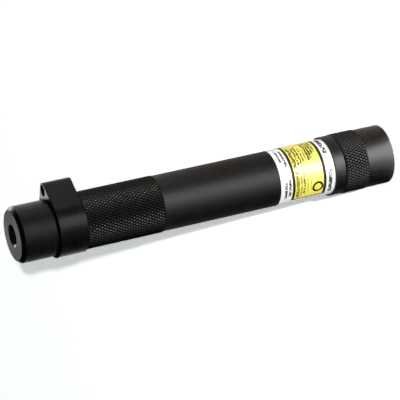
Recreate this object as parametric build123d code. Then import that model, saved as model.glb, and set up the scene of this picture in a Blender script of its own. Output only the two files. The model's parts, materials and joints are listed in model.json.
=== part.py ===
# Hand-held laser signal flare. Sizes in millimetres.
# It stands on its knurled tail cap. +Z runs along the barrel from the tail face to the beam end,
# and +X points to the eye of the lanyard collar. The origin is the centre of the tail face.

import os
from math import acos, cos, degrees, radians, sin, sqrt

from build123d import *

# Tail cap
cap_end_wall = 4.0
cap_plain_len = 12.9
cap_under_ring = 0.13       # radial step from the ring down to the cap's plain part
cap_knurl_len = 11.7
cap_end_edge = 0.5

# Threaded ring between tail cap and tube
twist_gap = 0.45            # open while the flare is off, closes as the cap is screwed in
ring_len = 5.15
ring_rise = 1.03            # ring radius over tube radius
ring_floor = 1.2            # web that joins the ring to its threaded neck
neck_reach = 13.1           # how far the threaded neck goes down inside the cap
neck_wall = 2.0
seal_land_len = 4.7
seal_land_step = 0.5        # land radius over thread radius
seal_land_play = 0.2
seal_d = 1.5
seal_from_mouth = 2.1
cap_land_spare = 0.8        # room under the land for the cap to be screwed in
spigot_drop = 1.3

# Tube
tube_r = 12.7
grip_len = 36.95
knurl_rise = 0.35           # crests of both knurled bands over the plain metal beside them
neck_drop = 1.4

# Lanyard collar
collar_len = 13.15
collar_rise = 1.13
collar_play_back = 0.15
collar_play_front = 1.3
collar_fit = 0.08
eye_out = 2.6               # centre of the eye beyond the collar's ring
eye_r = 2.4
eye_wall = 1.1

# Front cap and window
front_cap_len = 16.1
front_wall = 4.65
front_edge_r = 1.35
front_edge_z = 1.75
aperture_r = 4.1
aperture_mouth = 1.0
nose_land_drop = 0.7
nose_thread_drop = 0.6
nose_land_len = 3.15
nose_land_play = 0.1
nose_seal_d = 1.3
nose_seal_from_mouth = 0.8
window_drop = 1.0
window_t = 1.8
gasket_t = 1.0
gasket_w = 2.5

# Power
cell_r = 7.25
cell_len = 50.5
cell_nub_r = 2.75
cell_nub_len = 1.0
cell_play = 0.35
sleeve_wall = 0.8
contact_t = 0.5
spring_len = 9.5
spring_r = 5.0
spring_wire_r = 0.5
spring_turns = 4.5
stud_len = 8.0
stud_r = 2.0
stud_head_r = 3.2
stud_head_t = 1.2
step_over_cells = 3.0       # where the battery bore steps down to the laser bore

# Laser module
board_t = 1.0
spacer_web = 1.0
spacer_wall = 1.6
housing_r = 6.9
housing_len = 39.5
housing_skirt = 1.0
housing_rear_cavity = 10.0
housing_partition = 5.0
flange_r = 7.9
flange_t = 2.0
retainer_t = 3.0
retainer_hole_r = 4.0
slot_w = 1.2
slot_depth = 0.9
nose_reach = 5.5            # nose beyond the retainer
optics_bore_r = 4.6
diode_base_r = 2.8
diode_base_t = 1.2
diode_can_r = 1.78
diode_can_len = 2.3
lead_r = 0.225
lead_circle_r = 1.27
focus_spring_len = 4.0
focus_wire_r = 0.3
focus_turns = 3.5
lens_holder_len = 7.0
lens_pocket = 4.0
lens_r = 3.0
lens_edge_t = 2.0
lens_dome = 0.8
lens_ledge = 0.4
carrier_inset = 6.0
carrier_len = 6.0
rod_lens_r = 1.95
beam_hole_r = 1.7

# Parts on the driver board: width, depth, height, and centre in X and Y
chip = (3.0, 4.9, 1.5, -3.6, 0.0)
trimmer = (2.8, 3.0, 1.6, 3.6, 0.0)
trimmer_slot = (1.7, 0.4, 0.6)  # length, width, depth
resistor = (2.0, 1.2, 0.5, 1.4, -4.0)
capacitor_r = 1.3
capacitor_h = 3.2
capacitor_y = 3.9

# Label: heights are above its lower edge, angles are from +X towards +Y
label_len = 27.3
label_t = 0.12
label_seam = 3.0            # degrees left open at the back
label_seam_angle = 100.0
rule_low = 5.25
rule_high = 20.85
rule_w = 0.9
panel_start = -152.5
panel_span = 167.5
edge_line_w = 0.5
badge_angle = -126.0
badge_height = 8.8
badge_r = 2.8
badge_line = 0.75
# Plain bars: height, first angle, last angle, width
bars = [
    (18.9, -20.0, -74.0, 1.3), (17.1, -18.0, -68.0, 0.6), (15.7, -22.0, -70.0, 0.6),
    (14.1, -28.0, -64.0, 0.5), (11.4, -14.0, -60.0, 0.6), (10.1, -16.0, -62.0, 0.6),
    (8.8, -12.0, -54.0, 0.6), (7.4, -14.0, -46.0, 0.6),
    (18.9, -86.0, -146.0, 1.3), (17.1, -98.0, -142.0, 0.6), (15.7, -94.0, -138.0, 0.6),
    (25.3, -18.0, -60.0, 0.8), (23.6, -22.0, -66.0, 0.8),
    (25.1, -106.0, -142.0, 0.9), (23.3, -100.0, -140.0, 0.9),
    (2.5, -14.0, -58.0, 1.4), (2.5, -96.0, -148.0, 1.4),
]

# Fits and small edges shared by several pieces
thread_fit = 0.1            # radial, threads are drawn as plain cylinders
slide_fit = 0.1             # radial, pieces pushed into a bore
press_fit = 0.05
seal_fit = 0.02
groove_fit = 0.03
end_play = 0.2
small_edge = 0.2
lead_in = 0.5
knurl_run_out = 0.35

# Heights worked out from the tail face upwards
z_knurl = cap_plain_len
z_cap_top = z_knurl + cap_knurl_len
z_ring = z_cap_top + twist_gap
z_label = z_ring + ring_len
z_socket = z_ring + ring_floor
z_neck = z_ring - neck_reach
z_land = z_ring - seal_land_len
z_contact = cap_end_wall
z_spring = z_contact + contact_t
z_cells = z_spring + spring_len
z_cells_top = z_cells + 2 * cell_len
z_step = z_cells_top + step_over_cells
z_board = z_cells_top + stud_len
z_housing = z_board + board_t
z_flange = z_housing + housing_len
z_retainer = z_flange + flange_t
z_nose = z_retainer + retainer_t + nose_reach
z_gasket = z_nose + window_t
z_wall = z_gasket + gasket_t
z_front = z_wall + front_wall
z_front_cap = z_front - front_cap_len
z_collar = z_front_cap - collar_play_front - collar_len
z_shoulder = z_collar - collar_play_back
z_grip = z_shoulder - grip_len
z_nose_thread = z_front_cap + nose_land_len
z_tail_seal = z_ring - seal_from_mouth - seal_d / 2
z_nose_seal = z_front_cap + nose_seal_from_mouth + nose_seal_d / 2
z_diode = z_housing + housing_rear_cavity
z_optics = z_diode + housing_partition
z_holder = z_optics + focus_spring_len
z_carrier = z_retainer - carrier_inset - carrier_len

# Radii worked out from the tube
grip_r = tube_r + knurl_rise
ring_r = tube_r + ring_rise
cap_plain_r = ring_r - cap_under_ring
cap_knurl_r = cap_plain_r + knurl_rise
spigot_r = tube_r - spigot_drop
neck_r = tube_r - neck_drop
nose_land_r = neck_r - nose_land_drop
nose_thread_r = nose_land_r - nose_thread_drop
window_r = nose_thread_r - window_drop
front_cap_r = tube_r
collar_r = tube_r + collar_rise
eye_reach = collar_r + eye_out
label_r = tube_r + label_t

# Radii worked out from the pieces inside them
sleeve_in = cell_r + cell_play
sleeve_out = sleeve_in + sleeve_wall
bore_r = sleeve_out + slide_fit
thread_r = bore_r + neck_wall
land_r = thread_r + seal_land_step
cap_thread_r = thread_r + thread_fit
cap_land_r = land_r + seal_land_play
socket_r = spigot_r + press_fit
module_bore_r = housing_r + slide_fit
nose_bore_r = flange_r + slide_fit
optics_r = optics_bore_r - slide_fit


def turned(*profile):
    # Solid of revolution about Z from an outline of (radius, height) points
    return revolve(Plane.XZ * Polygon(*profile, align=None), Axis.Z)


def disc(radius, bottom, top):
    return turned((0, bottom), (radius, bottom), (radius, top), (0, top))


def washer(inner, outer, bottom, top):
    return turned((inner, bottom), (outer, bottom), (outer, top), (inner, top))


def wire_coil(radius, wire_r, turns, bottom, top):
    # Round wire along a helix that touches both end planes
    height = top - bottom - 2 * wire_r
    path = Pos(0, 0, bottom + wire_r) * Helix(height / turns, height, radius)
    return sweep((path ^ 0) * Circle(wire_r), path=path, is_frenet=True)


def seal_ring(outer, wire_d, middle):
    return Pos(0, 0, middle) * Torus(outer - wire_d / 2, wire_d / 2)


def skin_patch(bottom, top, first, last):
    # Piece of the label's skin between two heights and two angles
    outline = Polygon((tube_r, bottom), (label_r, bottom), (label_r, top), (tube_r, top), align=None)
    patch = revolve(Plane.XZ * outline, Axis.Z, revolution_arc=abs(last - first))
    return Rot(0, 0, min(first, last)) * patch


def tail_cap():
    return turned(
        (0, 0), (cap_plain_r - cap_end_edge, 0), (cap_plain_r, cap_end_edge),
        (cap_plain_r, z_knurl), (cap_knurl_r, z_knurl + knurl_run_out),
        (cap_knurl_r, z_cap_top - knurl_run_out), (cap_knurl_r - knurl_run_out, z_cap_top),
        (cap_land_r + lead_in, z_cap_top), (cap_land_r, z_cap_top - lead_in),
        (cap_land_r, z_land - cap_land_spare), (cap_thread_r, z_land - cap_land_spare),
        (cap_thread_r, z_contact), (0, z_contact))


def tail_contact():
    return disc(cap_thread_r - slide_fit, z_contact, z_spring)


def tail_spring():
    return wire_coil(spring_r, spring_wire_r, spring_turns, z_spring, z_cells)


def seal_groove(outer, wire_d, middle):
    # Groove corners, from the lower rim to the upper one, on a land of the given radius
    floor = outer - seal_fit - wire_d - groove_fit
    low, high = middle - wire_d / 2 - end_play / 2, middle + wire_d / 2 + end_play / 2
    return low, high, floor


def threaded_ring():
    low, high, floor = seal_groove(cap_land_r, seal_d, z_tail_seal)
    return turned(
        (bore_r, z_neck), (thread_r - lead_in, z_neck), (thread_r, z_neck + lead_in),
        (thread_r, z_land), (land_r, z_land), (land_r, low), (floor, low), (floor, high),
        (land_r, high), (land_r, z_ring), (ring_r - small_edge, z_ring),
        (ring_r, z_ring + small_edge), (ring_r, z_label - small_edge),
        (ring_r - small_edge, z_label), (socket_r, z_label), (socket_r, z_socket),
        (bore_r, z_socket))


def tail_seal():
    return seal_ring(cap_land_r - seal_fit, seal_d, z_tail_seal)


def body_tube():
    nose_land_bore = nose_land_r + nose_land_play
    low, high, floor = seal_groove(nose_land_bore, nose_seal_d, z_nose_seal)
    return turned(
        (bore_r, z_socket), (spigot_r, z_socket), (spigot_r, z_label), (tube_r, z_label),
        (tube_r, z_grip), (grip_r, z_grip + knurl_run_out), (grip_r, z_shoulder - knurl_run_out),
        (grip_r - knurl_run_out, z_shoulder), (neck_r, z_shoulder), (neck_r, z_front_cap),
        (nose_land_r, z_front_cap), (nose_land_r, low), (floor, low), (floor, high),
        (nose_land_r, high), (nose_land_r, z_nose_thread), (nose_thread_r, z_nose_thread),
        (nose_thread_r, z_nose - lead_in), (nose_thread_r - lead_in, z_nose),
        (nose_bore_r, z_nose), (nose_bore_r, z_flange), (module_bore_r, z_flange),
        (module_bore_r, z_step), (bore_r, z_step))


def nose_seal():
    return seal_ring(nose_land_r + nose_land_play - seal_fit, nose_seal_d, z_nose_seal)


def front_cap():
    land_bore = nose_land_r + nose_land_play
    thread_bore = nose_thread_r + thread_fit
    pocket = window_r + slide_fit
    mouth = aperture_r + aperture_mouth
    return turned(
        (land_bore, z_front_cap), (front_cap_r - small_edge, z_front_cap),
        (front_cap_r, z_front_cap + small_edge), (front_cap_r, z_front - front_edge_z),
        (front_cap_r - front_edge_r, z_front), (mouth, z_front),
        (aperture_r, z_front - aperture_mouth), (aperture_r, z_wall), (pocket, z_wall),
        (pocket, z_nose), (thread_bore, z_nose), (thread_bore, z_nose_thread),
        (land_bore, z_nose_thread))


def aperture_window():
    return disc(window_r, z_nose, z_gasket)


def window_gasket():
    return washer(window_r - gasket_w, window_r, z_gasket, z_wall)


def lanyard_collar():
    # Ring and eye joined by the two outer tangents, so the eye's sides are flat
    tip_r = eye_r + eye_wall
    lean = acos((collar_r - tip_r) / eye_reach)
    flank = [
        (collar_r * cos(lean), -collar_r * sin(lean)),
        (eye_reach + tip_r * cos(lean), -tip_r * sin(lean)),
        (eye_reach + tip_r * cos(lean), tip_r * sin(lean)),
        (collar_r * cos(lean), collar_r * sin(lean)),
    ]
    outline = Circle(collar_r) + Pos(eye_reach, 0) * Circle(tip_r) + Polygon(*flank, align=None)
    holes = Circle(neck_r + collar_fit) + Pos(eye_reach, 0) * Circle(eye_r)
    return Pos(0, 0, z_collar) * extrude(outline - holes, collar_len)


def battery_sleeve():
    return washer(sleeve_in, sleeve_out, z_neck + end_play, z_step - end_play)


def battery_cell(bottom):
    body_top = bottom + cell_len - cell_nub_len
    edge = small_edge
    return turned(
        (0, bottom), (cell_r - edge, bottom), (cell_r, bottom + edge), (cell_r, body_top - edge),
        (cell_r - edge, body_top), (cell_nub_r, body_top), (cell_nub_r, bottom + cell_len),
        (0, bottom + cell_len))


def front_contact():
    head = z_board - stud_head_t
    return turned(
        (0, z_cells_top), (stud_r, z_cells_top), (stud_r, head), (stud_head_r, head),
        (stud_head_r, z_board), (0, z_board))


def board_spacer():
    # Plastic cup around the contact stud that keeps the cells off the driver board
    outer = housing_r
    bottom = z_step + end_play
    hole = stud_r + slide_fit
    inner = outer - spacer_wall
    return turned(
        (hole, bottom), (outer, bottom), (outer, z_board), (inner, z_board),
        (inner, bottom + spacer_web), (hole, bottom + spacer_web))


def driver_board():
    return disc(housing_r, z_board, z_housing)


def board_block(width, depth, height, x, y):
    return Pos(x, y, z_housing + height / 2) * Box(width, depth, height)


def driver_chip():
    return board_block(*chip)


def current_trimmer():
    width, depth, height, x, y = trimmer
    slot_len, slot_width, slot_deep = trimmer_slot
    slot = Pos(x, y, z_housing + height) * Box(slot_len, slot_width, 2 * slot_deep)
    return board_block(*trimmer) - slot


def sense_resistors():
    width, depth, height, x, y = resistor
    return Compound([board_block(width, depth, height, side * x, y) for side in (-1, 1)])


def filter_capacitor():
    return Pos(0, capacitor_y, 0) * disc(capacitor_r, z_housing, z_housing + capacitor_h)


def laser_diode():
    base = disc(diode_base_r, z_diode, z_diode + diode_base_t)
    can = disc(diode_can_r, z_diode + diode_base_t, z_diode + diode_base_t + diode_can_len)
    leads = []
    for angle in (-90, 90, 180):
        x, y = lead_circle_r * cos(radians(angle)), lead_circle_r * sin(radians(angle))
        leads.append(Pos(x, y, 0) * disc(lead_r, z_housing, z_diode))
    return base + can + leads


def laser_housing():
    shell = turned(
        (0, z_housing), (housing_r, z_housing), (housing_r, z_flange), (flange_r, z_flange),
        (flange_r, z_retainer), (0, z_retainer))
    rear_cavity = disc(housing_r - housing_skirt, z_housing, z_diode)
    base_seat = disc(diode_base_r + press_fit, z_diode, z_diode + diode_base_t)
    can_hole = disc(diode_can_r + slide_fit, z_diode, z_optics)
    optics_bore = disc(optics_bore_r, z_optics, z_retainer)
    return shell - rear_cavity - base_seat - can_hole - optics_bore


def focus_spring():
    mean_r = optics_r - 2 * focus_wire_r
    return wire_coil(mean_r, focus_wire_r, focus_turns, z_optics, z_holder)


def lens_holder():
    seat = z_holder + lens_holder_len - lens_pocket
    top = z_holder + lens_holder_len
    hole = lens_r - lens_ledge
    pocket = lens_r + slide_fit
    return turned(
        (hole, z_holder), (optics_r, z_holder), (optics_r, top), (pocket, top), (pocket, seat),
        (hole, seat))


def collimating_lens():
    # Flat towards the diode, domed towards the window
    seat = z_holder + lens_holder_len - lens_pocket
    crown = seat + lens_edge_t + lens_dome
    dome_r = (lens_r ** 2 + lens_dome ** 2) / (2 * lens_dome)
    return disc(lens_r, seat, crown) & Pos(0, 0, crown - dome_r) * Sphere(dome_r)


def lens_carrier():
    body = washer(beam_hole_r, optics_r, z_carrier, z_carrier + carrier_len)
    cross_bore = Rot(0, 90, 0) * Cylinder(rod_lens_r + press_fit, 2 * optics_r)
    return body - Pos(0, 0, z_carrier + carrier_len / 2) * cross_bore


def line_lens():
    # Rod as long as the round carrier lets it lie across the beam
    length = 2 * sqrt(optics_r ** 2 - rod_lens_r ** 2) - end_play
    rod = Rot(0, 90, 0) * Cylinder(rod_lens_r, length)
    return Pos(0, 0, z_carrier + carrier_len / 2) * rod


def module_retainer():
    top = z_retainer + retainer_t
    ring = washer(retainer_hole_r, flange_r, z_retainer, top)
    slot = Pos(0, 0, top) * Box(3 * flange_r, slot_w, 2 * slot_depth)
    return ring - slot


def label_layers():
    # One printed label in three inks: white stock, yellow field and black print
    low, high = z_label + rule_low, z_label + rule_high
    end = panel_start + panel_span
    seam = label_seam_angle
    stock = skin_patch(z_label, z_label + label_len, seam + label_seam, seam + 360)
    field = skin_patch(low, high, panel_start, end)
    line_angle = degrees(edge_line_w / tube_r)
    marks = [
        skin_patch(low - rule_w / 2, low + rule_w / 2, panel_start, end),
        skin_patch(high - rule_w / 2, high + rule_w / 2, panel_start, end),
        skin_patch(low + rule_w / 2, high - rule_w / 2, panel_start, panel_start + line_angle),
        skin_patch(low + rule_w / 2, high - rule_w / 2, end - line_angle, end),
    ]
    for height, first, last, width in bars:
        bottom = z_label + height - width / 2
        marks.append(skin_patch(bottom, bottom + width, first, last))
    reach = 2 * label_r
    tube = Rot(0, 90, 0) * (Cylinder(badge_r, reach) - Cylinder(badge_r - badge_line, reach))
    tube = Pos(0, 0, z_label + badge_height) * Rot(0, 0, badge_angle) * Pos(label_r, 0, 0) * tube
    marks.append(field & tube)
    for mark in marks:
        stock -= mark
        field -= mark
    return stock - field, field, Compound([solid for mark in marks for solid in mark.solids()])


os.makedirs("parts", exist_ok=True)
label_wrap, label_field, label_print = label_layers()
parts = {
    "tail_cap": tail_cap(),
    "tail_contact": tail_contact(),
    "tail_spring": tail_spring(),
    "tail_seal": tail_seal(),
    "threaded_ring": threaded_ring(),
    "body_tube": body_tube(),
    "battery_sleeve": battery_sleeve(),
    "rear_cell": battery_cell(z_cells),
    "front_cell": battery_cell(z_cells + cell_len),
    "front_contact": front_contact(),
    "board_spacer": board_spacer(),
    "driver_board": driver_board(),
    "driver_chip": driver_chip(),
    "current_trimmer": current_trimmer(),
    "sense_resistors": sense_resistors(),
    "filter_capacitor": filter_capacitor(),
    "laser_diode": laser_diode(),
    "laser_housing": laser_housing(),
    "focus_spring": focus_spring(),
    "lens_holder": lens_holder(),
    "collimating_lens": collimating_lens(),
    "lens_carrier": lens_carrier(),
    "line_lens": line_lens(),
    "module_retainer": module_retainer(),
    "nose_seal": nose_seal(),
    "aperture_window": aperture_window(),
    "window_gasket": window_gasket(),
    "front_cap": front_cap(),
    "lanyard_collar": lanyard_collar(),
    "label_wrap": label_wrap,
    "label_field": label_field,
    "label_print": label_print,
}
for node, shape in parts.items():
    export_step(shape, f"parts/{node}.step")
print(f"overall length {z_front:.2f} mm, bare tube {z_grip - z_label - label_len:.2f} mm")
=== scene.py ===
import json
from math import cos, pi, radians, sin

import bmesh
import bpy
import numpy as np
from mathutils import Matrix, Vector


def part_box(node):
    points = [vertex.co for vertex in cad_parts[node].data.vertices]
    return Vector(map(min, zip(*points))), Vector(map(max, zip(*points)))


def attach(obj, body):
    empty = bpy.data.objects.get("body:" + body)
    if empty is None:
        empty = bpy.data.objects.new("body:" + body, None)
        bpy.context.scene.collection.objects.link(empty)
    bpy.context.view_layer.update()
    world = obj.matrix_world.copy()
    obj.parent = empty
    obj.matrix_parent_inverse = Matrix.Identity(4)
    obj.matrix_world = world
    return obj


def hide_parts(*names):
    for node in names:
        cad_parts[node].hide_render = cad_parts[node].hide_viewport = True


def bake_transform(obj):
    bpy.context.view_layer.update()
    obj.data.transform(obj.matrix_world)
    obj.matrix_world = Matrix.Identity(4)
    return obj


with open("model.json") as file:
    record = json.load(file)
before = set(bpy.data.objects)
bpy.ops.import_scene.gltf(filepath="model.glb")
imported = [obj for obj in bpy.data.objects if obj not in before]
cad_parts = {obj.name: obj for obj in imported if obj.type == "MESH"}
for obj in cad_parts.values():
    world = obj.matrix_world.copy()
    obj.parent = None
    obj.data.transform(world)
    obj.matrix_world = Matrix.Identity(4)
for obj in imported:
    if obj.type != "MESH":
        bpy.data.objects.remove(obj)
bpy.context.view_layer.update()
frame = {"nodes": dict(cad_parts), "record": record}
nodes = frame["nodes"]
mm = 0.001
print("frame loaded")


def topOf(node):
    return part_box(node)[1].z / mm


def bottomOf(node):
    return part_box(node)[0].z / mm


def radiusOf(node):
    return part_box(node)[1].y / mm


# The camera of the photograph: place in mm, and the directions of the picture's right and up
camera = {
    "place": (74.36, -960.94, 461.90),
    "right": (-0.1899, -0.3655, -0.9112),
    "up": (0.9790, 0.0, -0.2040),
    "lens": 207.03,
    "sensor": 36.0,
    "clip": (0.01, 50.0),
}


def makeCamera(c):
    right = Vector(c["right"]).normalized()
    up = Vector(c["up"])
    up = (up - right * up.dot(right)).normalized()
    back = right.cross(up)
    data = bpy.data.cameras.new("photoCamera")
    data.lens, data.sensor_width, data.sensor_fit = c["lens"], c["sensor"], "HORIZONTAL"
    data.clip_start, data.clip_end = c["clip"]
    obj = bpy.data.objects.new("photoCamera", data)
    turn = Matrix((right, up, back)).transposed().to_4x4()
    obj.matrix_world = Matrix.Translation(Vector(c["place"]) * mm) @ turn
    bpy.context.scene.collection.objects.link(obj)
    bpy.context.scene.camera = obj


makeCamera(camera)


# Mesh building: distances in metres under which points are merged and faces count as empty, and
# the angles in degrees past which an edge of a turned or a drawn piece is sharp

meshing = {"merge": 1e-7, "empty": 1e-8, "sharpTurned": 34.0, "sharpDrawn": 50.0}
toothSteps = 6    # grid steps across a tooth of a knurl, round the band and along it
offKnurl = -1.0   # what the tooth attribute says off the knurl


def gridFaces(rows, cols, wrapRows, wrapCols):
    # Corner numbers of the quads of a grid of points, closed round where it wraps
    down = np.arange(rows if wrapRows else rows - 1)[:, None]
    along = np.arange(cols if wrapCols else cols - 1)[None, :]
    nextDown, nextAlong = (down + 1) % rows, (along + 1) % cols
    corners = [down * cols + along, down * cols + nextAlong,
               nextDown * cols + nextAlong, nextDown * cols + along]
    return np.stack(np.broadcast_arrays(*corners), axis=-1).reshape(-1, 4)


def meshPiece(name, points, faces, sharpAngle=meshing["sharpTurned"], flat=None, values=None):
    # points in mm; values are named numbers for each point, kept as attributes
    mesh = bpy.data.meshes.new(name)
    mesh.from_pydata((np.asarray(points) * mm).tolist(), [], [list(f) for f in faces])
    for label, numbers in (values or {}).items():
        layer = mesh.attributes.new(label, "FLOAT", "POINT")
        layer.data.foreach_set("value", np.asarray(numbers, dtype=np.float32))
    smooth = np.ones(len(faces), dtype=bool)
    if flat is not None:
        smooth[flat] = False
    mesh.polygons.foreach_set("use_smooth", smooth)
    work = bmesh.new()
    work.from_mesh(mesh)
    bmesh.ops.remove_doubles(work, verts=work.verts, dist=meshing["merge"])
    bmesh.ops.dissolve_degenerate(work, edges=work.edges, dist=meshing["empty"])
    bmesh.ops.recalc_face_normals(work, faces=work.faces)
    work.to_mesh(mesh)
    work.free()
    mesh.set_sharp_from_angle(angle=radians(sharpAngle))
    obj = bpy.data.objects.new(name, mesh)
    bpy.context.scene.collection.objects.link(obj)
    return obj


def softened(corners, steps=4, closed=True):
    # A corner (radius, height, edge) becomes the curve (1-t)^2 a + 2t(1-t) p + t^2 b, which
    # leaves the corner p one edge length before it and joins one edge length after. A point
    # half an edge further out on each side keeps the flats beside it flat in shading
    line, count = [], len(corners)
    for i, (r, z, edge) in enumerate(corners):
        here = np.array([r, z], dtype=float)
        if edge == 0 or (not closed and i in (0, count - 1)):
            line.append(here[None])
            continue
        before = np.array(corners[i - 1][:2], dtype=float) - here
        after = np.array(corners[(i + 1) % count][:2], dtype=float) - here
        a = here + before / np.linalg.norm(before) * edge
        b = here + after / np.linalg.norm(after) * edge
        t = np.linspace(0, 1, steps + 1)[:, None]
        curve = (1 - t) ** 2 * a + 2 * t * (1 - t) * here + t ** 2 * b
        line.append(np.vstack([a + (a - here) / 2, curve, b + (b - here) / 2]))
    return np.vstack(line)


def plainRows(line, cols):
    # Rows of a turned surface: every column has the profile's radius
    line = np.asarray(line)
    return np.repeat(line[:, :1], cols, axis=1), line[:, 1]


def knurlRows(band, low, high, valley):
    # Two sets of helical grooves cross at phases a = u + v and b = u - v, where u counts teeth
    # round the band and v counts them along it. A tooth's height is the smaller of the two
    # triangle waves 1 - 2|a| and 1 - 2|b| about the nearest whole number, cut flat at the cut,
    # and its flanks bulge by bulge * t * (1 - t) of the share t of its height
    rows = int(round((high - low) / band["pitchAlong"] * toothSteps))
    j = np.arange(rows + 1)[:, None]
    i = np.arange(band["teeth"] * toothSteps)[None, :]
    a, b = (i + j) / toothSteps, (i - j) / toothSteps
    waveA = 1 - 2 * np.abs(a - np.round(a))
    waveB = 1 - 2 * np.abs(b - np.round(b))
    tooth = np.minimum(np.minimum(waveA, waveB), band["cut"]) / band["cut"]
    rise = tooth + band["bulge"] * tooth * (1 - tooth)
    return valley + rise * band["depth"], low + (high - low) * j[:, 0] / rows, tooth


def lathe(name, stretches, cols, closed):
    # Surface of revolution x = r cos(turn), y = r sin(turn), z = height, for stretches of
    # (radii, heights, tooth): a row for each height, a column for each step of the turn. The
    # tooth is 0 in a groove of a knurl, 1 on a point, and offKnurl elsewhere
    radii = np.vstack([s[0] for s in stretches])
    heights = np.concatenate([s[1] for s in stretches])
    tooth = np.vstack([s[2] if len(s) > 2 else np.full_like(s[0], offKnurl) for s in stretches])
    turn = np.arange(cols) * 2 * pi / cols
    points = np.stack([radii * np.cos(turn), radii * np.sin(turn),
                       np.broadcast_to(heights[:, None], radii.shape)], axis=-1)
    quads = gridFaces(len(heights), cols, closed, True)
    faces, flat = [], []
    start = 0
    for s in stretches:
        stop = start + len(s[1])
        if len(s) > 2:
            # The diagonal of each quad lies along the crease that crosses it
            inside = quads[start * cols:(stop - 1) * cols]
            number = np.arange(len(inside))
            odd = ((number % cols - number // cols) % 2 == 1)[:, None]
            one = np.where(odd, inside[:, [0, 1, 2]], inside[:, [0, 1, 3]])
            two = np.where(odd, inside[:, [0, 2, 3]], inside[:, [1, 2, 3]])
            flat.extend(range(len(faces), len(faces) + 2 * len(inside)))
            faces.extend(np.concatenate([one, two]).tolist())
            faces.extend(quads[(stop - 1) * cols:stop * cols].tolist())
        else:
            faces.extend(quads[start * cols:stop * cols].tolist())
        start = stop
    return meshPiece(name, points.reshape(-1, 3), faces, flat=flat,
                     values={"tooth": tooth.reshape(-1)})


# Sizes that several pieces share, in mm, all but the two gaps read from the frame
capGap = 0.45  # closes as the tail cap is screwed in
fitGap = 0.1   # round an inner piece in its bore
zTop = topOf("front_cap")
zFrontCap = bottomOf("front_cap")
zCollarLow, zCollarHigh = bottomOf("lanyard_collar"), topOf("lanyard_collar")
zLabelLow, zLabelHigh = bottomOf("label_wrap"), topOf("label_wrap")
zRingTop, zNeckLow = topOf("threaded_ring"), bottomOf("threaded_ring")
zCapTop = topOf("tail_cap")
zRingLow = zCapTop + capGap
zTubeLow, zTubeHigh = bottomOf("body_tube"), topOf("body_tube")
zContact = bottomOf("tail_contact")
tubeR = radiusOf("front_cap")
gripR = radiusOf("body_tube")
ringR = radiusOf("threaded_ring")
capKnurlR = radiusOf("tail_cap")
collarR = radiusOf("lanyard_collar")
boreR = radiusOf("battery_sleeve") + fitGap
moduleR = radiusOf("laser_housing") + fitGap

# Knurled bands: teeth round the band and their spacing along it, a tooth's height, the share of
# its full point that is left, the bulge of its flanks, where the band starts and how far its
# ends slope off
gripKnurl = {
    "teeth": 56, "pitchAlong": 2.53, "depth": 0.42, "cut": 1.0, "bulge": 0.25,
    "low": 113.8, "runOut": 0.35,
}
capKnurl = {
    "teeth": 60, "pitchAlong": 2.53, "depth": 0.35, "cut": 2 / 3, "bulge": 0.3,
    "low": 12.9, "runOut": 0.35,
}


# Barrel: heights of the nose are above the front cap's foot

barrel = {
    "cols": gripKnurl["teeth"] * toothSteps, "edge": 0.1, "guard": 0.2, "spigotR": 11.4,
    "neckR": 11.3, "shoulder": zCollarLow - 0.15,
    "noseLandR": 10.6, "noseThreadR": 10.0, "noseLand": 3.15, "noseEdge": 0.5,
    "grooveR": 9.35, "grooveLow": 0.7, "grooveHigh": 2.2,
    "noseStep": topOf("laser_housing") - 2.0, "boreStep": topOf("battery_sleeve") + 0.2,
}


def makeBarrel(p):
    cols, e = p["cols"], p["edge"]
    lowKnurl, run = gripKnurl["low"], gripKnurl["runOut"]
    noseBore = radiusOf("module_retainer") + fitGap
    grooveLow, grooveHigh = zFrontCap + p["grooveLow"], zFrontCap + p["grooveHigh"]
    landTop = zFrontCap + p["noseLand"]
    lower = softened([
        (boreR, zTubeLow, e), (p["spigotR"], zTubeLow, e), (p["spigotR"], zLabelLow, 0),
        (tubeR, zLabelLow, e), (tubeR, lowKnurl - p["guard"], 0), (tubeR, lowKnurl, 0)],
        closed=False)
    upper = softened([
        (gripR - run, p["shoulder"], 0), (p["neckR"], p["shoulder"], 0),
        (p["neckR"], zFrontCap, 0), (p["noseLandR"], zFrontCap, 0), (p["noseLandR"], grooveLow, 0),
        (p["grooveR"], grooveLow, 0), (p["grooveR"], grooveHigh, 0),
        (p["noseLandR"], grooveHigh, 0), (p["noseLandR"], landTop, 0),
        (p["noseThreadR"], landTop, 0), (p["noseThreadR"], zTubeHigh - p["noseEdge"], 0),
        (p["noseThreadR"] - p["noseEdge"], zTubeHigh, 0), (noseBore, zTubeHigh, 0),
        (noseBore, p["noseStep"], 0), (moduleR, p["noseStep"], 0), (moduleR, p["boreStep"], 0),
        (boreR, p["boreStep"], 0)], closed=False)
    knurl = knurlRows(gripKnurl, lowKnurl + run, p["shoulder"] - run, gripR - gripKnurl["depth"])
    return lathe("barrel", [plainRows(lower, cols), knurl, plainRows(upper, cols)], cols, True)


# Tail cap

tailCap = {
    "cols": capKnurl["teeth"] * toothSteps, "edge": 0.1, "endSteps": 6,
    "plainR": 13.6, "endEdge": 0.5, "threadR": 10.6, "landR": 11.2, "landLow": zRingLow - 5.5,
    "leadIn": 0.5, "guard": 0.2,
}


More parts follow.
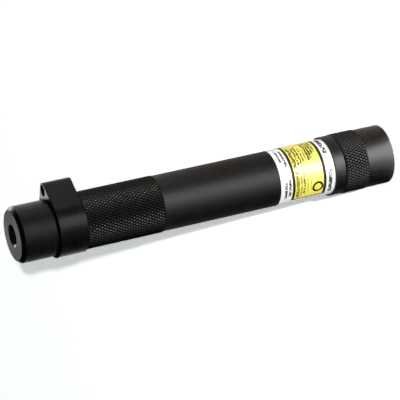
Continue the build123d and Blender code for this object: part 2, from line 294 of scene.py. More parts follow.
def makeTailCap(p):
    cols, e = p["cols"], p["edge"]
    low, run = capKnurl["low"], capKnurl["runOut"]
    outer = softened([
        (0.0, 0.0, 0), (p["plainR"], 0.0, p["endEdge"]), (p["plainR"], low - p["guard"], 0),
        (p["plainR"], low, 0)], steps=p["endSteps"], closed=False)
    inner = softened([
        (capKnurlR - run, zCapTop, 0), (p["landR"] + p["leadIn"], zCapTop, e),
        (p["landR"], zCapTop - p["leadIn"], e), (p["landR"], p["landLow"], 0),
        (p["threadR"], p["landLow"], 0), (p["threadR"], zContact, 0), (0.0, zContact, 0)],
        closed=False)
    knurl = knurlRows(capKnurl, low + run, zCapTop - run, capKnurlR - capKnurl["depth"])
    return lathe("tailCap", [plainRows(outer, cols), knurl, plainRows(inner, cols)],
                 cols, False)


# Threaded ring

ring = {
    "cols": 240, "edge": 0.2, "landEdge": 0.1, "floor": 1.2, "spigotGap": 0.05,
    "threadR": 10.5, "threadDepth": 0.42, "pitch": 1.0, "pitchSteps": 8, "flank": 3.2,
    "crest": 0.3, "leadIn": 0.5, "leadOut": 0.2, "fade": 0.9, "landR": 11.0,
    "landLow": zRingLow - 4.7, "grooveR": 9.65, "grooveLow": zRingLow - 3.7,
    "grooveHigh": zRingLow - 2.0,
}


def threadRows(p):
    # r = threadR - depth * wave * fade, where the wave is the triangle |z / pitch - turn| about
    # the nearest whole number, times the flank's slope, less the crest and clipped to 0 to 1,
    # and the fade takes the groove out to nothing at both ends of the thread
    z = np.arange(zNeckLow + p["leadIn"], p["landLow"] - p["leadOut"],
                  p["pitch"] / p["pitchSteps"])
    turn = np.arange(p["cols"]) / p["cols"]
    phase = z[:, None] / p["pitch"] - turn[None, :]
    wave = np.clip(np.abs(phase - np.round(phase)) * p["flank"] - p["crest"], 0, 1)
    nearEnd = np.minimum(z - z[0], z[-1] - z) / p["fade"]
    fade = np.clip(nearEnd, 0, 1)[:, None]
    return p["threadR"] - p["threadDepth"] * wave * fade, z


def makeRing(p):
    cols, e, landEdge = p["cols"], p["edge"], p["landEdge"]
    socketR, zFloor = barrel["spigotR"] + p["spigotGap"], zRingLow + p["floor"]
    start = softened([
        (boreR, zNeckLow, 0), (p["threadR"] - p["leadIn"], zNeckLow, 0),
        (p["threadR"], zNeckLow + p["leadIn"], 0)], closed=False)
    land = softened([
        (p["threadR"], p["landLow"], 0), (p["landR"], p["landLow"], landEdge),
        (p["landR"], p["grooveLow"], landEdge), (p["grooveR"], p["grooveLow"], 0),
        (p["grooveR"], p["grooveHigh"], 0), (p["landR"], p["grooveHigh"], landEdge),
        (p["landR"], zRingLow, 0), (ringR, zRingLow, e), (ringR, zRingTop, e),
        (socketR, zRingTop, 0), (socketR, zFloor, 0), (boreR, zFloor, 0)], closed=False)
    return lathe("threadedRing", [plainRows(start, cols), threadRows(p), plainRows(land, cols)],
                 cols, True)


# Front cap

frontCap = {
    "cols": 240, "faceEdge": 0.12, "bevelIn": 1.35, "bevelDown": 1.75, "backEdge": 0.2,
    "apertureR": 4.1, "mouth": 1.0, "wall": 4.65, "pocketR": 9.1, "threadR": 10.1,
    "landR": 10.7, "landTop": zFrontCap + 3.15,
}


def makeFrontCap(p):
    e, zWall = p["faceEdge"], zTop - p["wall"]
    line = softened([
        (p["landR"], zFrontCap, 0), (tubeR, zFrontCap, p["backEdge"]),
        (tubeR, zTop - p["bevelDown"], e), (tubeR - p["bevelIn"], zTop, e),
        (p["apertureR"] + p["mouth"], zTop, e), (p["apertureR"], zTop - p["mouth"], e),
        (p["apertureR"], zWall, 0), (p["pocketR"], zWall, 0), (p["pocketR"], zTubeHigh, 0),
        (p["threadR"], zTubeHigh, 0), (p["threadR"], p["landTop"], 0),
        (p["landR"], p["landTop"], 0)])
    return lathe("frontCap", [plainRows(line, p["cols"])], p["cols"], True)


# Lanyard collar

collar = {
    "boreR": 11.38, "eyeX": 16.425, "eyeR": 2.4, "tipR": 3.5, "edge": 0.3, "guard": 1.5,
    "splitX": 12.9, "splitSteps": 13, "ringSteps": 150, "tipSteps": 36, "flankSteps": 6,
    "edgeSteps": 4, "across": (0, 0.08, 0.36, 0.64, 0.92, 1),
}


def collarLoops(p, inset):
    # Outline of the collar as two round arcs and their common tangents, drawn in by an inset and
    # cut at x = splitX into a loop about the bore and a loop about the eye
    big, small = collarR - inset, p["tipR"] - inset
    lean = np.arccos((big - small) / p["eyeX"])
    t = np.linspace(0, 1, p["ringSteps"])
    arc = lean + t * (2 * pi - 2 * lean)
    ringArc = np.stack([big * np.cos(arc), big * np.sin(arc)], axis=-1)
    tipTurn = np.linspace(-lean, lean, p["tipSteps"])
    tipArc = np.stack([p["eyeX"] + small * np.cos(tipTurn), small * np.sin(tipTurn)], axis=-1)
    # How far out the tangent line meets the cut
    a, b = ringArc[0], tipArc[-1]
    reach = a[1] + (b[1] - a[1]) * (p["splitX"] - a[0]) / (b[0] - a[0])
    cut = np.linspace(-1, 1, p["splitSteps"]) * reach
    chord = np.stack([np.full_like(cut, p["splitX"]), cut], axis=-1)
    share = np.linspace(0, 1, p["flankSteps"])[1:-1, None]
    flankA = chord[-1] + (a - chord[-1]) * share
    flankB = ringArc[-1] + (chord[0] - ringArc[-1]) * share
    boreLoop = np.vstack([chord, flankA, ringArc, flankB])
    riseA = chord[0] + (tipArc[0] - chord[0]) * share
    riseB = tipArc[-1] + (chord[-1] - tipArc[-1]) * share
    eyeLoop = np.vstack([chord[::-1], riseA, tipArc, riseB])
    outer = np.vstack([flankA, ringArc, flankB, chord[:1], riseA, tipArc, riseB, chord[-1:]])
    return boreLoop, eyeLoop, outer


def holeLoop(loop, centre, radius):
    # The point of a circle in line with each point of a loop about it
    away = loop - centre
    return centre + away / np.linalg.norm(away, axis=1, keepdims=True) * radius


def faceBetween(outerLoop, innerLoop, z, shares):
    # Straight blend from one loop to the other, as a grid of points at one height
    t = np.array(shares)[:, None, None]
    flatPoints = outerLoop[None] * (1 - t) + innerLoop[None] * t
    return np.concatenate([flatPoints, np.full(flatPoints.shape[:2] + (1,), z)], axis=-1)


def makeCollar(p):
    e, low, high = p["edge"], zCollarLow, zCollarHigh
    # Round edge, then a level at guard times the edge that keeps the wall flat in shading
    quarter = np.linspace(0, pi / 2, p["edgeSteps"])
    insets = np.concatenate([e * (1 - np.sin(quarter)), [0, 0], e * (1 - np.cos(quarter))])
    levels = np.concatenate([
        low + e * (1 - np.cos(quarter)), [low + p["guard"] * e, high - p["guard"] * e],
        high - e + e * np.sin(quarter)])
    points, faces, total = [], [], 0

    def add(grid):
        nonlocal total
        rows, cols = grid.shape[:2]
        points.append(grid.reshape(-1, 3))
        faces.extend((gridFaces(rows, cols, False, True) + total).tolist())
        total += rows * cols

    def withHeight(loop, z):
        return np.concatenate([loop, np.full((len(loop), 1), z)], axis=-1)

    add(np.stack([withHeight(collarLoops(p, i)[2], z) for i, z in zip(insets, levels)]))
    boreLoop, eyeLoop, outer = collarLoops(p, e)
    eyeAt = np.array([p["eyeX"], 0.0])
    for loop, centre, radius in (
            (boreLoop, np.zeros(2), p["boreR"]), (eyeLoop, eyeAt, p["eyeR"])):
        for z in (low, high):
            add(faceBetween(loop, holeLoop(loop, centre, radius + e), z, p["across"]))
        add(np.stack([withHeight(holeLoop(loop, centre, radius + i), z)
                      for i, z in zip(insets, levels)]))
    return meshPiece("lanyardCollar", np.vstack(points), faces, meshing["sharpDrawn"])


# Tail spring

tailSpring = {"wireR": 0.5, "turns": 4.5, "steps": 126, "wireSteps": 10}


def makeTailSpring(p):
    # Wire along the helix (r cos a, r sin a, low + (high - low) * share), with a circle of the
    # wire's radius about each point, spanned by the outward direction and the one square to it
    # and to the wire
    wire = p["wireR"]
    r = radiusOf("tail_spring") - wire
    low, high = bottomOf("tail_spring") + wire, topOf("tail_spring") - wire
    share = np.linspace(0, 1, p["steps"] + 1)[:, None]
    a = 2 * pi * p["turns"] * share
    none = np.zeros_like(a)
    outward = np.hstack([np.cos(a), np.sin(a), none])
    ahead = np.hstack([-np.sin(a), np.cos(a), none + (high - low) / (2 * pi * p["turns"] * r)])
    side = np.cross(ahead / np.linalg.norm(ahead, axis=1, keepdims=True), outward)
    centre = r * outward + np.hstack([none, none, low + (high - low) * share])
    w = (np.arange(p["wireSteps"]) * 2 * pi / p["wireSteps"])[None, :, None]
    points = centre[:, None] + wire * (np.cos(w) * outward[:, None] + np.sin(w) * side[:, None])
    faces = gridFaces(len(share), p["wireSteps"], False, True).tolist()
    end = np.arange(p["wireSteps"])
    faces += [end.tolist(), (end + p["steps"] * p["wireSteps"]).tolist()]
    return meshPiece("tailSpring", points.reshape(-1, 3), faces, meshing["sharpDrawn"])


# Label: heights are above its lower edge in mm, angles are from +X towards +Y in degrees

label = {
    "seamAngle": 100.0, "seam": 3.0, "ruleLow": 5.25, "ruleHigh": 20.85, "ruleWidth": 1.35,
    "panelStart": -152.5, "panelSpan": 167.5, "edgeLine": 0.7,
    "badgeAngle": -126.0, "badgeHeight": 8.8, "badgeR": 2.8, "badgeLine": 1.0,
    "white": (0.90, 0.90, 0.89), "yellow": (0.90, 0.82, 0.11), "ink": (0.014, 0.010, 0.002),
    "gloss": 1.0, "coat": 0.6, "vinylRough": 0.26, "inkRough": 0.5, "inkGloss": 0.15,
    "cols": 240, "edge": 0.03, "edgeSteps": 2, "dashNoise": (1.0, 1.0, 0.6), "dashCut": 0.41,
    "dashAlong": 0.9, "dashApart": 3.7, "waveNoise": (260.0, 2.0), "waveTone": 0.97,
    "bump": 0.12, "bumpDepth": 0.00005,
}
# Rows of plain dashes: height, first angle, last angle, width, dash length and depth of ink
labelRows = [
    (18.8, -22, -76, 1.7, 1.1, 0.85), (18.8, -84, -146, 1.7, 1.1, 0.75),
    (17.0, -24, -72, 0.9, 0.8, 0.9), (17.0, -96, -142, 0.8, 0.8, 0.7),
    (15.6, -22, -70, 0.9, 0.8, 0.95), (15.6, -92, -138, 1.0, 0.8, 0.85),
    (14.1, -30, -68, 0.7, 0.7, 0.85), (13.9, -100, -136, 0.7, 0.7, 0.5),
    (12.7, -36, -62, 0.6, 0.7, 0.75), (12.2, -98, -130, 0.5, 0.7, 0.45),
    (11.3, -14, -66, 1.0, 0.9, 0.95), (10.0, -14, -62, 1.0, 0.9, 0.95),
    (8.7, -12, -54, 1.0, 0.8, 0.95), (7.4, -12, -48, 0.9, 0.8, 0.9),
    (25.0, -22, -62, 1.0, 0.9, 0.9), (23.0, -26, -70, 1.0, 0.9, 0.9),
    (24.8, -102, -140, 1.2, 0.9, 0.95), (22.8, -98, -136, 1.2, 0.9, 0.95),
    (2.5, -12, -58, 1.7, 1.2, 1.0), (2.5, -94, -148, 1.7, 1.2, 0.95),
]


def makeLabel(p):
    labelR = radiusOf("label_wrap")
    e = p["edge"]
    line = softened([(tubeR, zLabelLow, 0), (labelR, zLabelLow, e),
                     (labelR, zLabelHigh, e), (tubeR, zLabelHigh, 0)], steps=p["edgeSteps"])
    start, stop = radians(p["seamAngle"] + p["seam"]), radians(p["seamAngle"] + 360)
    turn = np.linspace(start, stop, p["cols"])
    r, z = line[:, :1], np.broadcast_to(line[:, 1:], (len(line), p["cols"]))
    points = np.stack([r * np.cos(turn), r * np.sin(turn), z], axis=-1)
    rows, cols = points.shape[:2]
    faces = gridFaces(rows, cols, True, False).tolist()
    ends = np.arange(rows) * cols
    faces += [ends.tolist(), (ends + cols - 1)[::-1].tolist()]
    around = np.broadcast_to((turn - start) / (stop - start), (rows, cols))
    height = (z - zLabelLow) / (zLabelHigh - zLabelLow)
    obj = meshPiece("label", points.reshape(-1, 3), faces,
                    values={"around": around.reshape(-1), "height": height.reshape(-1)})
    mesh = obj.data
    corner = np.zeros(len(mesh.loops), dtype=np.int32)
    mesh.loops.foreach_get("vertex_index", corner)
    uv = np.zeros((2, len(mesh.vertices)), dtype=np.float32)
    mesh.attributes["around"].data.foreach_get("value", uv[0])
    mesh.attributes["height"].data.foreach_get("value", uv[1])
    layer = mesh.uv_layers.new(name="wrap")
    layer.data.foreach_set("uv", uv.T[corner].reshape(-1))
    return obj


# Materials. A noise is given as its scale, detail and roughness, and lies mostly in middleRange

middleRange = (0.3, 0.7)


class Nodes:
    # Short words for building a node tree
    def __init__(self, name):
        self.material = bpy.data.materials.new(name)
        self.material.use_nodes = True
        self.tree = self.material.node_tree
        self.tree.nodes.clear()
        self.out = self.tree.nodes.new("ShaderNodeOutputMaterial")

    def add(self, kind, settings=None, **inputs):
        node = self.tree.nodes.new("ShaderNode" + kind)
        for key, value in (settings or {}).items():
            setattr(node, key, value)
        for key, value in inputs.items():
            socket = int(key[1:]) if key[1:].isdigit() else key.replace("_", " ")
            self.put(node.inputs[socket], value)
        return node

    def put(self, socket, value):
        if isinstance(value, bpy.types.NodeSocket):
            self.tree.links.new(value, socket)
        elif isinstance(value, bpy.types.Node):
            self.tree.links.new(value.outputs[0], socket)
        else:
            socket.default_value = value

    def math(self, operation, a, b=0.0, c=0.0):
        return self.add("Math", {"operation": operation}, i0=a, i1=b, i2=c).outputs[0]

    def mix(self, share, a, b):
        node = self.add("Mix", {"data_type": "RGBA"}, Factor=share)
        self.put(node.inputs[6], a)
        self.put(node.inputs[7], b)
        return node.outputs[2]

    def times(self, a, b):
        return self.math("MULTIPLY", a, b)

    def shade(self, base, grey):
        # A colour multiplied by a grey value
        node = self.add("Mix", {"data_type": "RGBA", "blend_type": "MULTIPLY"}, Factor=1.0)
        self.put(node.inputs[6], base)
        self.put(node.inputs[7], self.add("CombineColor", None, i0=grey, i1=grey, i2=grey))
        return node.outputs[2]

    def span(self, value, low, high, toLow=0.0, toHigh=1.0):
        # The range low to high taken to the range toLow to toHigh, and held at its ends
        node = self.add("MapRange", None, i0=value, i1=low, i2=high, i3=toLow, i4=toHigh)
        return node.outputs[0]

    def axes(self, vector):
        return self.add("SeparateXYZ", None, Vector=vector).outputs

    def length(self, vector):
        return self.add("VectorMath", {"operation": "LENGTH"}, i0=vector).outputs["Value"]

    def place(self, scale=(1, 1, 1)):
        where = self.add("TexCoord").outputs["Object"]
        return self.add("Mapping", None, Vector=where, Scale=scale).outputs[0]

    def noise(self, vector, scale, detail=2.0, roughness=0.5):
        return self.add("TexNoise", None, Vector=vector, Scale=scale, Detail=detail,
                        Roughness=roughness).outputs[0]

    def finishWith(self, shader):
        self.put(self.out.inputs["Surface"], shader)
        return self.material


def colour(values):
    return (*values, 1.0)


def wornKnurl(n, cut, base, rough):
    # Knurled band: rough ground between the teeth, kept dark as painted shade in the grooves, and
    # glossier points, worn in patches
    tooth = n.add("Attribute", {"attribute_name": "tooth"}).outputs["Fac"]
    patch = n.span(n.noise(n.place(), *cut["patchNoise"]), *cut["patchRange"])
    worn = n.times(n.span(tooth, cut["wornFrom"], cut["wornTo"]),
                   n.span(patch, 0.0, 1.0, cut["leastWorn"]))
    band = n.span(tooth, offKnurl * 0.6, offKnurl * 0.4)  # 0 off the knurl and 1 on it
    base = n.mix(band, base, n.mix(worn, colour(cut["shadedGround"]), colour(cut["worn"])))
    point = n.span(patch, 0.0, 1.0, cut["dull"], cut["bright"])
    rough = n.span(band, 0.0, 1.0, rough, n.span(worn, 0.0, 1.0, cut["groundRough"], point))
    return base, rough, band


def bareEnd(n, end, base, rough):
    # End of a piece: a dark bevel, a bare level face from a set X outwards, short of which the
    # face keeps the dark anodising as painted shade, and within mouthR of the axis the sloping
    # mouth of the bore, with a painted glint: a brighter metallic colour on its lower side
    upward = n.math("ABSOLUTE", n.axes(n.add("TexCoord").outputs["Normal"])[2])
    along = n.axes(n.place())[0]
    bevel = n.span(upward, *end["bevelRange"])
    base = n.mix(bevel, base, colour(end["bevel"]))
    rough = n.span(bevel, 0.0, 1.0, rough, end["bevelRough"])
    # Bare face only from a set X outwards; short of it the face keeps the dark anodising as
    # painted shade
    face = n.times(n.span(upward, *end["faceRange"]),
                   n.span(along, end["paintedShadeUntilX"] - end["paintedShadeBlend"], end["paintedShadeUntilX"]))
    base = n.mix(face, base, colour(end["face"]))
    rough = n.span(face, 0.0, 1.0, rough, end["faceRough"])
    near = n.span(n.length(n.place((1, 1, 0))), end["mouthR"], end["mouthR"] - end["mouthBlend"])
    mouth = n.times(near, n.times(bevel, n.span(upward, *end["mouthRange"])))
    # Painted glint: the mouth's lower side, low along X, gets a brighter metallic colour
    lit = n.mix(n.span(along, *end["paintedGlintRange"]), colour(end["mouth"]), colour(end["paintedGlint"]))
    return n.mix(mouth, base, lit), rough, n.math("MAXIMUM", face, mouth)


def turnedMetal(name, look):
    # Turned and anodised: rings of slightly different gloss follow the tool round, with fine
    # grain, dusty streaks and, where a look asks for them, paler smudges, a knurl or a bare end
    n = Nodes(name)
    rings = n.noise(n.place(look["ringStretch"]), *look["ringNoise"])
    grain = n.noise(n.place(), *look["grainNoise"])
    clouds = n.noise(n.place(look["smudgeStretch"]), *look["smudgeNoise"])
    smudge = n.times(n.span(clouds, *look["smudgeRange"]), look["smudge"])
    streak = n.times(n.span(rings, *look["streakRings"]), n.span(grain, *look["streakGrain"]))
    dust = n.math("ADD", smudge, n.times(streak, look["streak"]))
    base = n.mix(dust, colour(look["base"]), colour(look["dust"]))
    uneven = n.math(
        "ADD", n.span(rings, *look["roughRange"], -look["ringRough"], look["ringRough"]),
        n.span(grain, *look["roughRange"], -look["grainRough"], look["grainRough"]))
    rough, metallic = n.math("ADD", uneven, look["rough"]), 0.0
    if look["knurl"]:
        base, rough, metallic = wornKnurl(n, look["knurl"], base, rough)
    if look["end"]:
        base, rough, metallic = bareEnd(n, look["end"], base, rough)
    relief = n.math("ADD", rings, n.times(grain, look["grainRelief"]))
    bump = n.add("Bump", None, Strength=look["bump"], Distance=look["bumpDepth"], Height=relief)
    shader = n.add("BsdfPrincipled", None, Base_Color=base, Roughness=rough, Metallic=metallic,
                   Normal=bump, Anisotropic=look["stretch"])
    shader.inputs["Specular IOR Level"].default_value = look["gloss"]
    n.put(shader.inputs["Tangent"], n.add("Tangent", {"direction_type": "RADIAL", "axis": "Z"}))
    return n.finishWith(shader)


def labelMaterial(p, rows):
    # Printed vinyl: white stock, a yellow field between two rules, a plain ring and rows of dashes
    n = Nodes("printedVinyl")
    wrap = n.axes(n.add("UVMap", {"uv_map": "wrap"}))
    start, stop = p["seamAngle"] + p["seam"], p["seamAngle"] + 360
    angle = n.math("MULTIPLY_ADD", wrap[0], stop - start, start - 360)
    height = n.times(wrap[1], zLabelHigh - zLabelLow)
    both = n.times

    def within(value, low, high):
        return n.math("COMPARE", value, (low + high) / 2, abs(high - low) / 2)

    def either(a, b):
        return n.math("MAXIMUM", a, b)

    mmPerDegree = radians(1) * radiusOf("label_wrap")
    end = p["panelStart"] + p["panelSpan"]
    inAngle = within(angle, p["panelStart"], end)
    field = both(inAngle, within(height, p["ruleLow"], p["ruleHigh"]))
    half = p["ruleWidth"] / 2
    ink = both(inAngle, either(*(
        within(height, z - half, z + half) for z in (p["ruleLow"], p["ruleHigh"]))))
    lineAngle = p["edgeLine"] / mmPerDegree
    for a in (p["panelStart"], end - lineAngle):
        ink = either(ink, both(within(angle, a, a + lineAngle),
                               within(height, p["ruleLow"], p["ruleHigh"])))
    across = n.times(n.math("SUBTRACT", angle, p["badgeAngle"]), mmPerDegree)
    upward = n.math("SUBTRACT", height, p["badgeHeight"])
    away = n.length(n.add("CombineXYZ", None, X=across, Y=upward))
    ink = either(ink, within(away, p["badgeR"] - p["badgeLine"], p["badgeR"]))
    for number, (z, first, last, width, dash, depth) in enumerate(rows):
        spot = n.add("CombineXYZ", None, X=n.times(angle, mmPerDegree / dash),
                     Y=n.times(height, p["dashAlong"]), Z=number * p["dashApart"])
        dashes = n.math("GREATER_THAN", n.noise(spot, *p["dashNoise"]), p["dashCut"])
        row = both(within(angle, first, last), within(height, z - width / 2, z + width / 2))
        ink = either(ink, both(both(dashes, row), depth))
    wave = n.noise(n.place(), *p["waveNoise"])
    stock = n.mix(field, colour(p["white"]), colour(p["yellow"]))
    printed = n.shade(n.mix(ink, stock, colour(p["ink"])),
                      n.span(wave, *middleRange, p["waveTone"], 1.0))
    bump = n.add("Bump", None, Strength=p["bump"], Distance=p["bumpDepth"], Height=wave)
    dull = n.mix(ink, colour((1.0,) * 3), colour((p["inkGloss"],) * 3))
    shader = n.add("BsdfPrincipled", None, Base_Color=printed, Normal=bump,
                   Roughness=n.span(ink, 0.0, 1.0, p["vinylRough"], p["inkRough"]),
                   Specular_Tint=dull, Coat_Weight=n.span(ink, 0.0, 1.0, p["coat"], 0.0))
    shader.inputs["Specular IOR Level"].default_value = p["gloss"]
    shader.inputs["Coat Roughness"].default_value = p["vinylRough"]
    return n.finishWith(shader)


# What the inner pieces' materials share, unless one says otherwise
innerLook = {
    "grain": (900.0, 3.0), "stretch": (1, 1, 1), "tone": 0.12, "uneven": 0.05, "bump": 0.1,
    "bumpDepth": 0.00003, "transmission": 0.0,
}


def plainMaterial(name, base, metallic, rough, **own):
    # Inner pieces: a base colour with a slight grain in tone, roughness and relief
    look = {**innerLook, **own}
    n = Nodes(name)
    grain = n.noise(n.place(look["stretch"]), *look["grain"])
    tone = n.span(grain, *middleRange, 1 - look["tone"], 1.0)
    uneven = n.span(grain, *middleRange, rough - look["uneven"], rough + look["uneven"])
    bump = n.add("Bump", None, Strength=look["bump"], Distance=look["bumpDepth"], Height=grain)
    shader = n.add("BsdfPrincipled", None, Base_Color=n.shade(colour(base), tone),
                   Metallic=metallic, Roughness=uneven, Normal=bump)
    shader.inputs["Transmission Weight"].default_value = look["transmission"]
    return n.finishWith(shader)


print("pieces and materials defined")

# Turned pieces: colours, roughness, and the scales and ranges of their noises
anodised = {
    "base": (0.0016, 0.0016, 0.0015), "dust": (0.030, 0.033, 0.033), "smudge": 0.0,
    "streak": 0.22, "rough": 0.37, "gloss": 0.155, "stretch": 0.5,
    "ringNoise": (900.0, 3.0, 0.65), "ringStretch": (0.012, 0.012, 1.0), "ringRough": 0.07,
    "grainNoise": (1500.0, 2.0), "grainRough": 0.07, "grainRelief": 0.35,
    "roughRange": (0.25, 0.75), "streakRings": (0.4, 0.75), "streakGrain": (0.3, 0.75),
    "smudgeNoise": (240.0, 5.0, 0.7), "smudgeStretch": (1, 1, 0.6), "smudgeRange": (0.48, 0.72),
    "bump": 0.12, "bumpDepth": 0.00002, "knurl": None, "end": None,
}
# Knurl colours: the dark ground is painted shade in the grooves, the paler worn points are wear
gripCut = {
    "shadedGround": (0.0062, 0.0060, 0.0056), "groundRough": 0.50, "worn": (0.025, 0.025, 0.023),
    "wornFrom": 0.30, "wornTo": 0.5, "dull": 0.28, "bright": 0.15,
    "patchNoise": (760.0, 1.0), "patchRange": (0.35, 0.65), "leastWorn": 0.4,
}
capCut = {
    **gripCut, "shadedGround": (0.0180, 0.0180, 0.0175), "groundRough": 0.45,
    "worn": (0.043, 0.043, 0.042), "wornFrom": 0.5, "wornTo": 0.7, "dull": 0.32, "bright": 0.20,
}
# Ends: ranges of the normal's rise for a bevel, a level face and a mouth, and places in metres
frontEnd = {
    "bevel": (0.0006,) * 3, "bevelRough": 0.30, "bevelRange": (0.3, 0.5),
    "face": (0.105, 0.105, 0.108), "faceRough": 0.32, "faceRange": (0.97, 0.999),
    "paintedShadeUntilX": -1.0, "paintedShadeBlend": 0.001, "mouth": (0.02,) * 3, "mouthR": 0.0054,
    # The glint colour and its range along X paint a highlight on the mouth's lower side
    "mouthBlend": 0.0001, "mouthRange": (0.97, 0.9), "paintedGlint": (0.32,) * 3,
    "paintedGlintRange": (-0.0034, -0.0044),
}
# On the collar the bare face is kept to the lug, past 13.2 mm along X; the ring part stays dark as
# painted shade
lugEnd = {
    **frontEnd, "bevelRough": 0.85, "face": (0.75,) * 3, "faceRough": 0.25, "paintedShadeUntilX": 0.0132,
}
finishes = {
    "tube": {**anodised, "knurl": gripCut},
    "cap": {**anodised, "knurl": capCut, "rough": 0.28, "gloss": 0.32},
    "ring": {**anodised, "rough": 0.28, "gloss": 0.30},
    "front": {**anodised, "end": frontEnd, "gloss": 0.065, "smudge": 0.04},
    "collar": {**anodised, "end": lugEnd, "base": (0.0012, 0.0014, 0.0015), "rough": 0.17,
               "gloss": 0.066, "smudge": 0.1},
}

pieces = {
    "barrel": (makeBarrel(barrel), turnedMetal("anodisedTube", finishes["tube"]),
               "barrel", "anodised_black", ["body_tube"]),
    "tailCap": (makeTailCap(tailCap), turnedMetal("anodisedCap", finishes["cap"]),
                "tail", "anodised_black", ["tail_cap"]),
    "ring": (makeRing(ring), turnedMetal("anodisedRing", finishes["ring"]),
             "barrel", "anodised_black", ["threaded_ring"]),
    "frontCap": (makeFrontCap(frontCap), turnedMetal("anodisedFront", finishes["front"]),
                 "barrel", "anodised_black", ["front_cap"]),
    "collar": (makeCollar(collar), turnedMetal("anodisedCollar", finishes["collar"]),
               "collar", "anodised_collar", ["lanyard_collar"]),
    "label": (makeLabel(label), labelMaterial(label, labelRows),
              "barrel", "label_white", ["label_wrap", "label_field", "label_print"]),
}
for obj, material, body, slotName, replaced in pieces.values():
    obj.data.materials.append(material)
    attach(obj, body)
    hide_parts(*replaced)
print("outer pieces made:", {k: len(v[0].data.polygons) for k, v in pieces.items()})

slotLooks = {
    "brass": plainMaterial("machinedBrass", (0.72, 0.52, 0.22), 1.0, 0.28, stretch=(1, 1, 6)),
    "spring_steel": plainMaterial("drawnWire", (0.60, 0.60, 0.58), 1.0, 0.30),
    "seal_rubber": plainMaterial("sealRubber", (0.018, 0.018, 0.018), 0.0, 0.55),
    "clear_plastic": plainMaterial("sleevePlastic", (0.80, 0.80, 0.78), 0.0, 0.25,
                                   transmission=0.7),
    "cell_jacket": plainMaterial("cellJacket", (0.16, 0.17, 0.19), 0.2, 0.30),
    "black_plastic": plainMaterial("mouldedBlack", (0.02, 0.02, 0.02), 0.0, 0.45),
    "board_green": plainMaterial("solderMask", (0.02, 0.16, 0.07), 0.0, 0.30),
    "trimmer_blue": plainMaterial("trimmerBlue", (0.05, 0.16, 0.45), 0.0, 0.40),
    "capacitor_can": plainMaterial("drawnCan", (0.78, 0.78, 0.79), 1.0, 0.25),
    "diode_can": plainMaterial("goldFlash", (0.80, 0.62, 0.30), 1.0, 0.22),
    "optical_glass": plainMaterial("coatedGlass", (0.82, 0.90, 0.90), 0.0, 0.04, tone=0.02,
                                   bump=0.0, transmission=1.0),
    "anodised_black": pieces["barrel"][1],
    "anodised_collar": pieces["collar"][1],
    "label_white": pieces["label"][1], "label_yellow": pieces["label"][1],
    "label_black": pieces["label"][1],
}

# The spring reaches from the tail cap to the cells, and is left unattached to either body
spring = makeTailSpring(tailSpring)
spring.data.materials.append(slotLooks["spring_steel"])
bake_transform(spring)
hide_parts("tail_spring")

for part in frame["record"]["subparts"]:
    mesh = nodes[part["node"]].data
    mesh.materials.clear()
    mesh.materials.append(slotLooks[part["material_slot"]])
print("inner pieces finished")


# Stage: pale floor, wide pale wall, cards for the gloss and soft lamps, in metres

stage = {
    "nearR": 1.0, "floorR": 4.0, "wallHigh": 1.3, "steps": 96, "tone": (0.80,) * 3,
    "shownTone": (2.16,) * 3, "world": (0.130, 0.142, 0.145), "farFrom": 0.7, "farAt": 1.1,
    "farTone": (1.0,) * 3,
}
# Cards on the floor that only gloss sees, near the flare for its tail and far out for its front:
# azimuth from +X towards +Y, brightness and warmth
glossCards = {
    "innerR": 0.0132, "outerR": 1.6, "height": 0.0001, "farFrom": 0.30, "farAt": 0.46,
    "steps": 96, "warmGreen": 0.6,
    "near": [(-180, 0.02, 0.0), (-160, 0.03, 0.0), (-135, 0.5, 0.0), (-114, 2.5, 0.0),
             (-102, 4.9, -0.02), (-89, 9.0, -0.02), (-69, 9.0, -0.02), (-56, 2.0, 0.1),
             (-38, 0.6, 0.2), (-12, 0.8, 0.25), (20, 4.0, 0.25), (45, 9.0, 0.2), (72, 0.6, 0.1),
             (110, 0.03, 0.0), (180, 0.02, 0.0)],
    "far": [(-180, 0.02, 0.0), (-160, 0.03, 0.0), (-135, 0.25, 0.0), (-114, 1.4, 0.0),
            (-102, 3.4, -0.08), (-89, 8.4, -0.12), (-69, 8.4, -0.12), (-56, 1.4, 0.0),
            (-38, 0.6, 0.1), (-12, 3.6, 0.15), (20, 8.5, 0.15), (45, 8.5, 0.2), (72, 0.4, 0.1),
            (110, 0.03, 0.0), (180, 0.02, 0.0)],
}
# Dark card beyond the flare's lower side, which only gloss sees: a painted dark reflection on that
# side
darkCard = {
    "start": 114, "stop": 232, "awayR": 1.62, "low": 0.0002, "high": 1.3, "steps": 24,
    "tone": (0.01,) * 3,
}
# Lamps, aimed at the middle of the flare from an azimuth, an elevation and a distance. All but
# the last stay out of reflections, and the last is seen only in them
flareMiddle = Vector((0, 0, 0.09))
softSize = (0.3, 0.3)
lamps = {
    "keyLamp": {"from": (-84.2, 18.2, 3.0), "size": (0.02, 0.02), "power": 85.0,
                "hiddenFrom": "glossy"},
    "upperLamp": {"from": (15, 3, 2.5), "size": softSize, "power": 28.0, "hiddenFrom": "glossy"},
    "lowerLamp": {"from": (-170, 3, 2.5), "size": softSize, "power": 18.0,
                  "hiddenFrom": "glossy"},
    "backLamp": {"from": (95, 3, 2.5), "size": softSize, "power": 16.0, "hiddenFrom": "glossy"},
    "bevelGloss": {"from": (58, 8, 2.5), "size": (0.7, 0.5), "power": 20.0,
                   "hiddenFrom": "diffuse"},
}


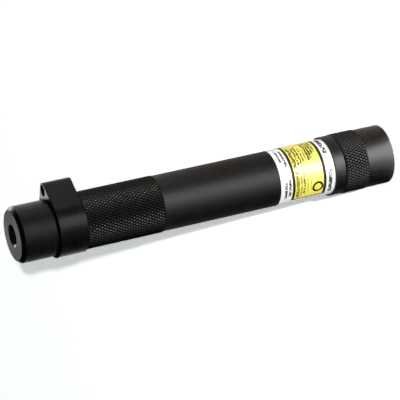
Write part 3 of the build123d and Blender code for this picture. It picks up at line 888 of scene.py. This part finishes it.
def stageMaterial(p):
    # Pale diffuse surface. The camera, gloss and glass see it whiter, with the flare's shadow
    # near the flare and plain white from farFrom outwards
    n = Nodes("paleStage")
    path = n.add("LightPath")
    seen = n.math("MINIMUM", 1.0, n.math("ADD", path.outputs["Is Camera Ray"], n.math(
        "ADD", path.outputs["Is Glossy Ray"], path.outputs["Is Transmission Ray"])))
    tone = n.mix(seen, colour(p["tone"]), colour(p["shownTone"]))
    far = n.times(seen, n.span(n.length(n.place()), p["farFrom"], p["farAt"]))
    pale = n.add("BsdfDiffuse", None, Color=tone)
    white = n.add("Emission", None, Color=colour(p["farTone"]), Strength=1.0)
    return n.finishWith(n.add("MixShader", None, i0=far, i1=pale, i2=white))


def aroundCircle(radii, heights, steps):
    # Rows of points (r cos a, r sin a, z) in mm, one row for each radius and height in metres
    turn = np.linspace(0, 2 * pi, steps + 1)[:-1]
    r, z = np.array(radii)[:, None], np.array(heights)[:, None]
    points = np.stack([r * np.cos(turn), r * np.sin(turn), z + 0 * turn], axis=-1) / mm
    return points.reshape(-1, 3), gridFaces(len(r), steps, False, True).tolist()


def makeStage(p):
    floor = meshPiece("paleFloor", *aroundCircle(
        (0.0, p["nearR"], p["floorR"], p["floorR"]), (0.0, 0.0, 0.0, p["wallHigh"]), p["steps"]))
    floor.data.materials.append(stageMaterial(p))
    world = bpy.data.worlds.new("paleRoom")
    world.use_nodes = True
    world.node_tree.nodes["Background"].inputs[0].default_value = colour(p["world"])
    bpy.context.scene.world = world


def glossCardMaterial(p):
    # Glow that follows the azimuth, with one ramp of brightness near the flare and one far out
    n = Nodes("glossCards")
    where = n.axes(n.place())
    azimuth = n.math("DEGREES", n.math("ARCTAN2", where[1], where[0]))
    top = max(look[1] for look in p["near"])

    def ramp(looks):
        node = n.add("ValToRGB", None, Fac=n.span(azimuth, -180.0, 180.0))
        marks = node.color_ramp.elements
        for number, (a, level, warmth) in enumerate(looks):
            mark = marks[number] if number < 2 else marks.new(0.5)
            mark.position = (a + 180) / 360
            share = level / top
            mark.color = colour(
                (share, share * (1 - warmth * p["warmGreen"]), share * (1 - warmth)))
        return node.outputs[0]

    far = n.span(n.length(n.place()), p["farFrom"], p["farAt"])
    glow = n.add("Emission", None, Color=n.mix(far, ramp(p["near"]), ramp(p["far"])), Strength=top)
    return n.finishWith(glow)


def keepForGloss(card):
    for ray in ("camera", "diffuse", "transmission", "shadow"):
        setattr(card, "visible_" + ray, False)


def makeGlossCards(p):
    card = meshPiece("glossCards", *aroundCircle(
        (p["innerR"], p["outerR"]), (p["height"], p["height"]), p["steps"]))
    card.data.materials.append(glossCardMaterial(p))
    keepForGloss(card)


def makeDarkCard(p):
    # Upright wall along the arc (awayR cos a, awayR sin a) from start to stop
    a = np.radians(np.linspace(p["start"], p["stop"], p["steps"] + 1))
    line = np.stack([np.cos(a), np.sin(a)], axis=-1) * p["awayR"]
    points = np.stack([np.column_stack([line, z + 0 * a]) for z in (p["low"], p["high"])]) / mm
    card = meshPiece("darkCard", points.reshape(-1, 3),
                     gridFaces(2, len(a), False, False).tolist())
    n = Nodes("darkCard")
    card.data.materials.append(n.finishWith(n.add("Emission", None, Color=colour(p["tone"]))))
    keepForGloss(card)


def aimed(azimuth, elevation, distance):
    # Place seen from the middle of the flare, with the azimuth from +X towards +Y
    a, e = radians(azimuth), radians(elevation)
    return flareMiddle + distance * Vector((cos(a) * cos(e), sin(a) * cos(e), sin(e)))


def makeLamp(name, p):
    data = bpy.data.lights.new(name, "AREA")
    data.shape, data.energy = "RECTANGLE", p["power"]
    data.size, data.size_y = p["size"]
    obj = bpy.data.objects.new(name, data)
    obj.location = aimed(*p["from"])
    obj.rotation_mode = "QUATERNION"
    obj.rotation_quaternion = (flareMiddle - obj.location).to_track_quat("-Z", "Y")
    obj.visible_camera = False
    setattr(obj, "visible_" + p["hiddenFrom"], False)
    bpy.context.scene.collection.objects.link(obj)


makeStage(stage)
makeGlossCards(glossCards)
makeDarkCard(darkCard)
for lampName, lampLook in lamps.items():
    makeLamp(lampName, lampLook)
print("stage lit")

view = bpy.context.scene.view_settings
view.view_transform = "Standard"
